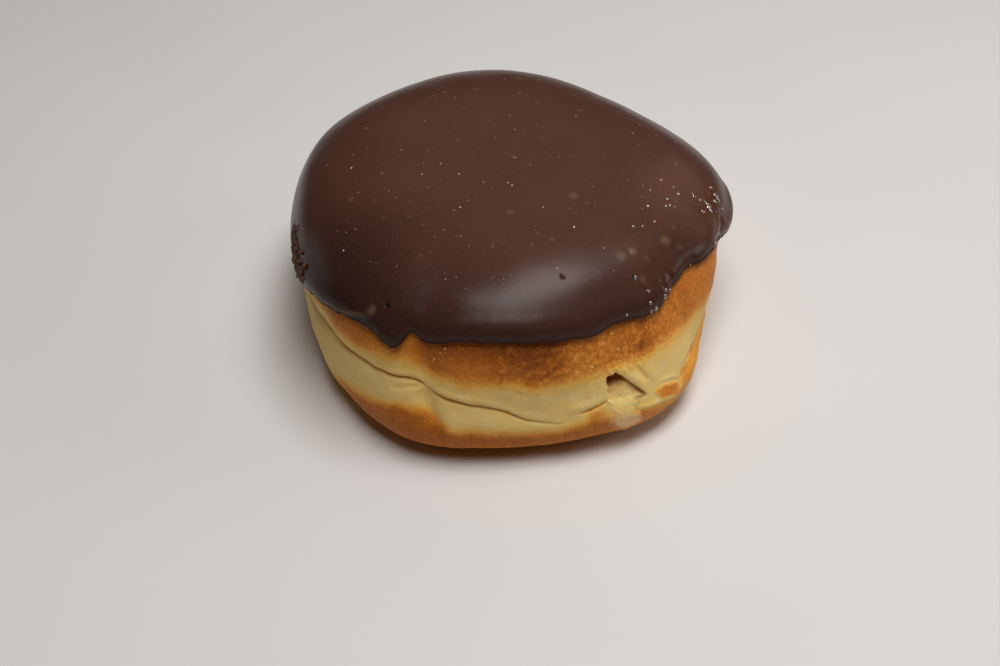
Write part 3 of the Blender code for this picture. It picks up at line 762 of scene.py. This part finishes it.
def dough_rows(azimuth):
    """Lengths along the profile of the dough's mesh rows, closest together at the proof line."""
    under, low, high = (
        np.linspace(0, 1, rows, endpoint=False)[:, None] for rows in (FOOT_ROWS, LOW_ROWS, HIGH_ROWS)
    )
    foot = np.full_like(azimuth, DOUGH_PROFILE[1][0])
    fold = arc_of_height(round_curve(azimuth, PROOF_LINE))
    edge = arc_of_height(round_curve(azimuth, ICING_EDGE) + ICING_RIM_LENGTH)
    top = np.full_like(azimuth, profile_table()[0][-1])
    low = foot + (fold - foot) * (1 - (1 - low) ** ROW_CROWDING)
    high = fold + (edge - fold) * high**ROW_CROWDING
    over = edge + (top - edge) * np.linspace(0, 1, TOP_ROWS)[:, None]
    return np.concatenate((under * foot, low, high, over))


def proof_fold(azimuth, height, points):
    """Relief of the proof line, a valley with a sharp crease and a lip above it, and how creased it is."""
    above = height - round_curve(azimuth, PROOF_LINE) - waves(points, CREASE_WANDER)
    creased = np.clip(round_curve(azimuth, PROOF_CREASE), 0.0, 1.0)
    crease = creased * bell(above, np.where(above > 0, CREASE_UPPER_WIDTH, CREASE_LOWER_WIDTH))
    lip = creased * bell(above - LIP_ABOVE, LIP_HALF_WIDTH)
    valley = round_curve(azimuth, VALLEY_DEPTHS) * bell(above, VALLEY_HALF_WIDTH)
    return LIP_HEIGHT * lip - CREASE_DEPTH * crease - valley, crease


def blisters(azimuth, height):
    """Weight of the small blisters on the upper crust: 1 at their tops."""
    random.seed(BLISTER_SEED)
    weight = np.zeros_like(height)
    for _ in range(BLISTER_COUNT):
        at = random.uniform(*BLISTER_AZIMUTHS)
        rise = random.uniform(*BLISTER_HEIGHTS)
        radius = random.uniform(*BLISTER_RADII)
        near = np.abs(sideways(azimuth[0], at)) < BLISTER_REACH * radius
        across = sideways(azimuth[:, near], at)
        weight[:, near] += bell(np.hypot(across, height[:, near] - rise), radius)
    return weight


def oval_weight(azimuth, height, points):
    """1 inside the brown oval blister beside the mouth, fading out at its rim."""
    across = sideways(azimuth, OVAL_AZIMUTH)
    up = height - OVAL_HEIGHT
    slant = math.radians(OVAL_SLANT)
    along = across * math.cos(slant) + up * math.sin(slant)
    beside = up * math.cos(slant) - across * math.sin(slant)
    out = np.hypot(along / OVAL_HALF_LENGTH, beside / OVAL_HALF_HEIGHT) + waves(points, OVAL_RAGGED)
    return 1 - smooth_step(out, *OVAL_RIM)


def crust_browning_and_shade(azimuth, height, points):
    """How browned the crust is, from 0, pale, to 1, with painted shade in its darker tones at the left and
    the front.
    """
    ragged = waves(points, CRUST_RAGGED)
    above = height - round_curve(azimuth, UPPER_CRUST) + ragged
    below = round_curve(azimuth, LOWER_CRUST) - height + LOWER_RAGGED * ragged
    tone = round_curve(azimuth, CRUST_TONE) + TONE_RISE * np.clip(above, 0.0, TONE_RISE_LIMIT)
    upper = smooth_step(above, -UPPER_SOFTNESS, UPPER_SOFTNESS) * tone
    lower = smooth_step(below, -LOWER_SOFTNESS, LOWER_SOFTNESS) * round_curve(azimuth, FOOT_TONE)
    lower = lower * (1 - FOOT_FADE * (1 - smooth_step(height, *FOOT_FADE_HEIGHTS)))
    return np.maximum(upper, lower)


def dough_relief(azimuth, height, form):
    """Height of the dough's folds, strokes, blisters and grain over its form, and how browned it is, with
    painted shade in its crease, cracks, grooves and under the icing's front, and a painted highlight on the
    oval's rim.
    """
    relief, crease = proof_fold(azimuth, height, form)
    # The crease is darkened, partly as painted shade
    browning_and_shade = crust_browning_and_shade(azimuth, height, form) + CREASE_SHADE_AND_BROWNING * crease
    for half_width, rise, tone, path in DOUGH_STROKES:
        weight = path_weight(azimuth, height, path, half_width)
        relief = relief + rise * weight
        browning_and_shade = browning_and_shade + tone * weight
    oval = oval_weight(azimuth, height, form)
    browning_and_shade = browning_and_shade * (1 - oval) + np.maximum(browning_and_shade, OVAL_TONE) * oval
    relief = relief + OVAL_RELIEF * oval + waves(form, DOUGH_WAVES)
    relief = relief + waves(form, CRUST_GRAIN) * np.clip(browning_and_shade * GRAIN_GAIN, GRAIN_LEAST, 1.0)
    blister = blisters(azimuth, height)
    pale = BLISTER_PALENESS * np.minimum(blister, 1.0) * smooth_step(browning_and_shade, *BLISTER_TONES)
    return relief + BLISTER_RISE * blister, browning_and_shade - pale


def side_corners(outline):
    """Corners of an outline near the mouth, as millimetres sideways from its middle line and height."""
    return [(sideways(at, MOUTH_AZIMUTH), rise) for at, rise in outline]


def dig_mouth(points, inside):
    """Push the points inside the mouth's outline into the dough, wider inside than at the rim."""
    out = outward(MOUTH_AZIMUTH)
    side = np.array((-out[1], out[0], 0.0))
    from_centre = points - np.array((*OUTLINE_CENTRE, MOUTH_HEIGHT))
    deep = MOUTH_DEPTH * smooth_step(inside, 0.0, MOUTH_WALL)
    wider = MOUTH_UNDERCUT * smooth_step(inside, MOUTH_LIP, MOUTH_WALL)
    dug = points - out * deep[..., None] + side * ((from_centre @ side) * wider)[..., None]
    dug[..., 2] += from_centre[..., 2] * wider
    return dug


def make_dough():
    """The fried dough with its proof line, wrinkles, crust blisters and filling hole."""
    columns = crowded_azimuths(DOUGH_COLUMNS)
    arc = dough_rows(columns)
    azimuth = np.broadcast_to(columns, arc.shape)
    form = dough_form(azimuth, arc)
    height = form[..., 2]
    relief, browning_and_shade = dough_relief(azimuth, height, form)
    inside = inside_distance(sideways(azimuth, MOUTH_AZIMUTH), height, side_corners(MOUTH_OUTLINE))
    inside = inside + waves(form, MOUTH_RAGGED)
    relief = relief * smooth_step(height, *FLAT_FOOT_HEIGHTS) * (1 - smooth_step(inside, *MOUTH_RIM))
    points = dig_mouth(form + grid_normals(form) * relief[..., None], inside)
    # Painted shade: the walls inside the hole are painted dark brown
    hole = smooth_step(inside, *MOUTH_SHADE_RIM)
    looks = {"browning_and_shade": np.clip(browning_and_shade * (1 - hole) + MOUTH_WALL_SHADE * hole, 0.0, 1.0)}
    add_grid("dough_crust", points, looks, dough_material(), "dough")
    return points


def icing_rows():
    """Depths of the icing's mesh rows, 0 at its top and 1 at its rim, and which of them are outside."""
    outer = np.linspace(0, 1, ICING_TOP_ROWS)
    rim = 1 - (1 - outer[-2]) * np.linspace(RIM_ROW_START, 0, ICING_RIM_ROWS)[1:] ** 2 * RIM_ROW_SHARE
    outer = np.concatenate((outer[:-1], np.sort(rim)))
    inner = np.concatenate((np.sort(rim)[::-1][1:], np.linspace(outer[-ICING_RIM_ROWS], 0, ICING_INNER_ROWS)))
    return np.concatenate((outer, inner)), np.arange(len(outer) + len(inner)) < len(outer)


def icing_edge(columns):
    """Height of the icing's lower edge at each column, wandering a little and ragged where it is torn."""
    height = round_curve(columns, ICING_EDGE)
    places = round_points(columns, EDGE_RADIUS, height)[None]
    ragged = turn_bell(columns, RAGGED_AZIMUTH, RAGGED_HALF_WIDTH)
    return height + waves(places, EDGE_WANDER)[0] + ragged * waves(places, EDGE_RAGGED)[0]


def icing_marks(azimuth, radius, marks):
    """Weight of round marks on the icing: azimuth, distance from the middle, radius and strength of each."""
    weight = np.zeros_like(radius)
    turn = np.radians(azimuth)
    for at, out, size, strength in marks:
        x, y, _ = out * outward(at)
        away = np.hypot(radius * np.cos(turn) - x, radius * np.sin(turn) - y)
        weight = np.maximum(weight, strength * (1 - smooth_step(away, MARK_CORE * size, MARK_REACH * size)))
    return weight


def icing_relief(azimuth, skin, form, from_rim):
    """Height of the icing's bubbles, folds and wrinkles, and the strength of each kind of mark."""
    radius = np.hypot(skin[..., 0] - OUTLINE_CENTRE[0], skin[..., 1] - OUTLINE_CENTRE[1])
    kinds = (ICING_BUBBLES, ICING_PINHOLES, WET_SPOTS, ICING_PATCHES_AND_LIGHT)
    bubble, dark, wet, patch_and_painted_light = (icing_marks(azimuth, radius, marks) for marks in kinds)
    wrinkles = turn_bell(azimuth, WRINKLE_AZIMUTH, WRINKLE_HALF_WIDTH)
    wrinkles = wrinkles * bell(from_rim - WRINKLE_RISE, WRINKLE_BAND)
    wet = np.maximum(wet, WRINKLE_WETNESS * wrinkles)
    relief = waves(form, ICING_WAVES) + BUBBLE_RISE * bubble - PINHOLE_DEPTH * dark
    relief = relief + wrinkles * waves(form, WRINKLE_WAVES) + wet * waves(form, WET_WAVES)
    relief = relief + ICING_BEAD * bell(from_rim - ICING_BEAD_LENGTH, ICING_BEAD_LENGTH)
    for half_width, rise, tone, path in ICING_STROKES:
        weight = path_weight(azimuth, skin[..., 2], path, half_width)
        relief = relief + rise * weight
        bubble = np.maximum(bubble, max(tone, 0.0) * weight)
        dark = np.maximum(dark, max(-tone, 0.0) * weight)
    patch_and_painted_light = np.clip(PATCH_STRENGTH * (patch_and_painted_light * (PATCH_LEVEL + waves(form, PATCH_GRAIN))), 0.0, 1.0)
    return relief, {"bubble": BUBBLE_PALENESS * bubble, "patch_and_painted_light": patch_and_painted_light, "pit_shade": dark, "wet": wet}


def make_icing():
    """The chocolate cap: its outer face, rounded rim and inner face as one closed shell."""
    columns = crowded_azimuths(ICING_COLUMNS)
    depth, outside = (rows[:, None] for rows in icing_rows())
    azimuth = np.broadcast_to(columns, (len(depth), len(columns)))
    top = profile_table()[0][-1]
    edge = arc_of_height(icing_edge(columns))
    arc = top + (edge - top) * depth
    form = dough_form(azimuth, arc)
    normals = grid_normals(form) * np.where(outside, -1.0, 1.0)[..., None]
    normals[0] = normals[-1] = (0.0, 0.0, 1.0)
    from_rim = arc - edge
    round_rim = np.clip(from_rim / ICING_RIM_LENGTH, 0.0, 1.0)
    round_rim = np.sqrt(round_rim * (2 - round_rim))
    thickness = ICING_TOP_THICKNESS + (ICING_SIDE_THICKNESS - ICING_TOP_THICKNESS) * depth
    offset = ICING_GAP + thickness / 2 * (1 + np.where(outside, round_rim, -round_rim))
    skin = form + normals * (ICING_GAP + thickness)[..., None]
    relief, looks = icing_relief(azimuth, skin, form, from_rim)
    points = form + normals * (offset + relief * round_rim * outside)[..., None]
    points[..., 2] -= ICING_RIM_LIP * (1 - round_rim)
    # Painted shade on the icing's side, strongest and reaching furthest up at the left
    shaded = turn_bell(azimuth, SHADED_AZIMUTH, SHADED_HALF_WIDTH)
    side = smooth_step(from_rim / (1 + SHADED_REACH * shaded), ICING_SIDE_SHADE_START, 0.0)
    looks = {name: values * outside for name, values in looks.items()}
    looks["side"] = side * (SIDE_SHADE_STRENGTH + (1 - SIDE_SHADE_STRENGTH) * shaded)
    looks["underside"] = np.where(outside, smooth_step(from_rim, *UNDERSIDE_RIM), 1.0)
    looks = {name: values[::-1] for name, values in looks.items()}
    add_grid("icing_cap", points[::-1], looks, icing_material(), "icing")
    return points[: int(outside.sum())][::-1]


def outline_places(turn, share, middle, outline, margin=0.0):
    """Azimuths and heights at shares of the way from a middle to an outline, at turns about the middle."""
    centre = side_corners((middle,))[0]
    corners = [(across - centre[0], rise - centre[1]) for across, rise in side_corners(outline)]
    polar = sorted((math.atan2(rise, across), math.hypot(across, rise)) for across, rise in corners)
    angles, lengths = zip(*polar)
    reach = np.interp(turn, angles, lengths, period=2 * math.pi) + margin
    azimuth = MOUTH_AZIMUTH + (centre[0] + share * reach * np.cos(turn)) / SIDE_MM_PER_DEGREE
    return azimuth, centre[1] + share * reach * np.sin(turn)


def cap_depth(azimuth, height):
    """How deep the custard's end lies under the dough's surface in the mouth, and how much painted shade it
    has there.
    """
    side = turn_between(azimuth, HOLLOW_FROM[0])
    rim = HOLLOW_FROM[1] + side * (HOLLOW_TO[1] - HOLLOW_FROM[1]) / (HOLLOW_TO[0] - HOLLOW_FROM[0])
    hollow = HOLLOW_DEPTH * smooth_step(height - rim, 0.0, HOLLOW_RISE)
    slit = SLIT_DEPTH * path_weight(azimuth, height, SLIT_PATH, SLIT_HALF_WIDTH)
    set_back = CAP_SET_BACK * smooth_step(height, *CAP_FLUSH_HEIGHTS)
    edge_shade = SLIT_SHADE * path_weight(azimuth, height, SLIT_PATH, SLIT_SHADE_HALF_WIDTH)
    return set_back + hollow + slit, np.maximum(smooth_step(height - rim, *HOLLOW_SHADE_RISE), edge_shade)


def custard_line(along, side, height):
    """Points along the line through the mouth, at distances, offsets to its side and heights."""
    out_x, out_y, _ = outward(MOUTH_AZIMUTH)
    x = FILLING_CENTRE[0] + along * out_x - side * out_y
    y = FILLING_CENTRE[1] + along * out_y + side * out_x
    return np.stack((x, y, height + 0 * x), axis=-1)


def custard_cap(turn, share):
    """The custard's end, which fills the mouth: shares of 1 at its edge to 0 in its middle."""
    azimuth, height = outline_places(turn, share, CAP_MIDDLE, MOUTH_OUTLINE, CAP_MARGIN)
    depth, recess_shade = cap_depth(azimuth, height)
    return side_form(azimuth, height) - outward(MOUTH_AZIMUTH) * depth[..., None], recess_shade


def make_custard():
    """The custard filling: a flattened core, a neck and the lumpy end that fills the mouth."""
    turn = np.linspace(-math.pi, math.pi, CUSTARD_COLUMNS, endpoint=False)[None]
    rows = np.linspace(0, 1, CUSTARD_BODY_ROWS)[:, None]
    places = np.linspace(0, 1, len(CUSTARD_SECTIONS))
    along, half_width, half_height, height = (
        smooth_curve(rows, tuple(zip(places, column))) for column in zip(*CUSTARD_SECTIONS)
    )
    body = custard_line(along, half_width * np.cos(turn), height + half_height * np.sin(turn))
    body = body + grid_normals(body) * (waves(body, CUSTARD_LUMPS) * (half_width > 0))[..., None]
    shares = np.linspace(1, 0, CUSTARD_CAP_ROWS)[:, None]
    cap, recess_shade = custard_cap(turn, shares)
    cap = cap + grid_normals(cap) * (waves(cap, CUSTARD_CAP_LUMPS) * np.sqrt(1 - shares))[..., None]
    cap[-1] = cap[-1].mean(axis=0)
    neck_shares = np.linspace(0, 1, CUSTARD_NECK_ROWS + 2)[1:-1, None, None]
    neck = body[-1:] * (1 - neck_shares) + cap[:1] * neck_shares
    points = np.concatenate((body, neck, cap))
    hidden = np.ones((len(body) + len(neck), CUSTARD_COLUMNS))
    looks = {"recess_shade": np.concatenate((hidden, recess_shade))}
    add_grid("custard_filling", points, looks, custard_material(), "custard")


def make_smear():
    """The film of custard below the mouth, as a thin closed shell with a drip at its lower end."""
    turn = np.linspace(-math.pi, math.pi, SMEAR_COLUMNS, endpoint=False)[None]
    rising = np.linspace(0, 1, SMEAR_ROWS)
    share = np.concatenate((rising, rising[::-1][1:]))[:, None]
    outer = (np.arange(len(share)) >= SMEAR_ROWS)[:, None]
    ragged = 1 + waves(round_points(np.degrees(turn), SMEAR_REACH, 0.0), SMEAR_RAGGED)
    azimuth, height = outline_places(turn, share * ragged, SMEAR_MIDDLE, SMEAR_OUTLINE)
    form = side_form(azimuth, height)
    across = sideways(azimuth, DRIP_PLACE[0])
    drip = DRIP_RISE * bell(np.hypot(across, height - DRIP_PLACE[1]), DRIP_RADIUS)
    thick = (1 - share**2) * (SMEAR_THICKNESS + waves(form, SMEAR_WAVES)) + (1 - share**4) * drip
    sunk = SMEAR_SUNK + SMEAR_TOP_SUNK * smooth_step(height, *SMEAR_TOP_HEIGHTS)
    lift = np.where(outer, thick, 0.0) - np.where(outer, share**4, 1.0) * sunk
    points = form + outward(SMEAR_MIDDLE[0]) * lift[..., None]
    looks = {
        "thickness": SMEAR_COVERING * (1 - share) + 0 * turn,
        "fresh": smooth_step(height, *SMEAR_FRESH_HEIGHTS) * (1 - SMEAR_FRESH_LOSS * share),
        "browning_and_shade": crust_browning_and_shade(azimuth, height, form),
    }
    add_grid("custard_smear", points, looks, smear_material())


def settled(surface, wanted, axes=3):
    """The points of a surface nearest to wanted places along the first axes, with the way out at each."""
    ways_out = grid_normals(surface).reshape(-1, 3)
    places = surface.reshape(-1, 3)
    nearest = [int(np.argmin(((places[:, :axes] - place[:axes]) ** 2).sum(axis=1))) for place in wanted]
    return [(places[index], ways_out[index]) for index in nearest]


def grain_piece(name, places, radii, material, flatness=GRAIN_FLATNESS, roughness=GRAIN_ROUGHNESS):
    """One mesh of small uneven grains, each at a place, half sunk along its way out."""
    shape = bmesh.new()
    for (place, way_out), radius in zip(places, radii):
        turn = Vector(way_out).to_track_quat("Z", "Y").to_matrix().to_4x4()
        spin = Matrix.Rotation(random.uniform(0, math.pi), 4, "Z")
        size = Matrix.Diagonal((radius * random.uniform(*GRAIN_STRETCH), radius, radius * flatness, 1.0))
        at = Matrix.Translation(Vector(place) * MM) @ turn @ spin @ size
        made = bmesh.ops.create_icosphere(shape, subdivisions=GRAIN_SUBDIVISIONS, radius=MM, matrix=at)
        for vertex in made["verts"]:
            jitter = Vector(noise.noise_vector(vertex.co / (GRAIN_ROUGHNESS_SIZE * MM)))
            vertex.co += jitter * roughness * radius * MM
    mesh = bpy.data.meshes.new(name)
    shape.to_mesh(mesh)
    shape.free()
    mesh.shade_smooth()
    add_piece(name, mesh, material)


def make_sugar_and_glints(icing_surface):
    """Sugar grains on the icing: some at their own places, partly as painted glints, and finer ones anywhere
    on top.
    """
    places = [round_points(at, out, 0.0) for at, out in SUGAR_AND_GLINT_PLACES]
    radii = [random.uniform(*SUGAR_RADII) for _ in places]
    for _ in range(FINE_SUGAR_COUNT):
        out = FINE_SUGAR_REACH * math.sqrt(random.random())
        places.append(round_points(random.uniform(-FULL_TURN / 2, FULL_TURN / 2), out, 0.0))
        radii.append(random.uniform(*FINE_SUGAR_RADII))
    look = grain_material("sugar_and_painted_glints", SUGAR_AND_GLINT_COLOURS, Roughness=0.3)
    grain_piece("sugar_and_glint_grains", settled(icing_surface, places, axes=2), radii, look)


def make_beads(icing_surface):
    """Flat wet beads that glint on the icing."""
    places = [round_points(at, out, height) for at, out, height, _ in WET_BEADS]
    radii = [radius for *_, radius in WET_BEADS]
    look = grain_material("wet_icing", WET_COLOURS, Roughness=0.1, IOR=2.3, Specular_IOR_Level=1.0)
    places = settled(icing_surface, places)
    grain_piece("icing_beads", places, radii, look, BEAD_FLATNESS, BEAD_ROUGHNESS)


def make_crust_glints(dough_surface):
    """Pale grains on the crust, as painted glints."""
    places = [side_form(at, height) for at, height in CRUST_GLINT_PLACES]
    radii = [random.uniform(*CRUST_GLINT_RADII) for _ in places]
    look = grain_material("painted_crust_glints", CRUST_GLINT_COLOURS, Roughness=0.3)
    grain_piece("crust_glint_grains", settled(dough_surface, places), radii, look)


def make_crumbs(icing_surface):
    """Crumbs of the icing's torn edge, along the line that it is torn on."""
    places = []
    radii = []
    for _ in range(CRUMB_COUNT):
        along = random.random()
        at = CRUMB_FROM[0] + along * (CRUMB_TO[0] - CRUMB_FROM[0])
        height = CRUMB_FROM[1] + along * (CRUMB_TO[1] - CRUMB_FROM[1]) + random.gauss(0.0, CRUMB_SPREAD)
        places.append(side_form(at, height))
        radii.append(random.uniform(*CRUMB_RADII))
    torn = settled(icing_surface, places)
    torn = [(place + way_out * random.uniform(*CRUMB_OUT), way_out) for place, way_out in torn]
    look = grain_material("torn_icing", TORN_COLOURS, Roughness=0.6)
    grain_piece("icing_crumbs", torn, radii, look)


def make_floor():
    """The plain pale floor."""
    half = FLOOR_SIZE / 2 * MM
    corners = [(-half, -half, 0), (half, -half, 0), (half, half, 0), (-half, half, 0)]
    mesh = bpy.data.meshes.new("floor")
    mesh.from_pydata(corners, [], [(0, 1, 2, 3)])
    floor = add_object("floor", mesh)
    material, tree, shader = new_material("pale_floor", Roughness=0.5, Specular_IOR_Level=0.3)
    drive(tree, shader, Base_Color=colour_ramp(tree, object_noise(tree, 60.0, 1.0), FLOOR_COLOURS))
    mesh.materials.append(material)


def make_lights():
    """Soft studio lights and a pale surrounding."""
    for name, place, sides, watts in LIGHTS:
        lamp = bpy.data.lights.new(name, "AREA")
        lamp.shape = "RECTANGLE"
        lamp.size, lamp.size_y = (side * MM for side in sides)
        lamp.energy = watts
        light = add_object(name, lamp)
        light.location = Vector(place) * MM
        away = light.location - Vector(LIGHT_TARGET) * MM
        light.rotation_mode = "QUATERNION"
        light.rotation_quaternion = away.to_track_quat("Z", "Y")
    world = bpy.data.worlds.new("pale_studio")
    world.use_nodes = True
    background = world.node_tree.nodes["Background"]
    background.inputs["Color"].default_value = (*WORLD_COLOUR, 1.0)
    background.inputs["Strength"].default_value = WORLD_STRENGTH
    bpy.context.scene.world = world
    bpy.context.scene.view_settings.view_transform = VIEW_TRANSFORM


def make_camera():
    """The camera at the shown viewing angle."""
    data = bpy.data.cameras.new("camera")
    data.lens = LENS
    data.sensor_width = SENSOR_WIDTH
    camera = add_object("camera", data)
    elevation, roll = math.radians(CAMERA_ELEVATION), math.radians(CAMERA_ROLL)
    forward = Vector((0.0, math.cos(elevation), -math.sin(elevation)))
    level = Vector((1.0, 0.0, 0.0))
    upright = level.cross(forward)
    right = level * math.cos(roll) + upright * math.sin(roll)
    up = upright * math.cos(roll) - level * math.sin(roll)
    turned = Matrix((right, up, -forward)).transposed().to_4x4()
    place = (Vector(CAMERA_TARGET) - forward * CAMERA_DISTANCE) * MM
    camera.matrix_world = Matrix.Translation(place) @ turned
    bpy.context.scene.camera = camera


make_camera()
make_lights()
make_floor()
dough_surface = make_dough()
icing_surface = make_icing()
make_custard()
make_smear()
random.seed(GRAIN_SEED)
noise.seed_set(GRAIN_SEED)
make_sugar_and_glints(icing_surface)
make_beads(icing_surface)
make_crust_glints(dough_surface)
make_crumbs(icing_surface)
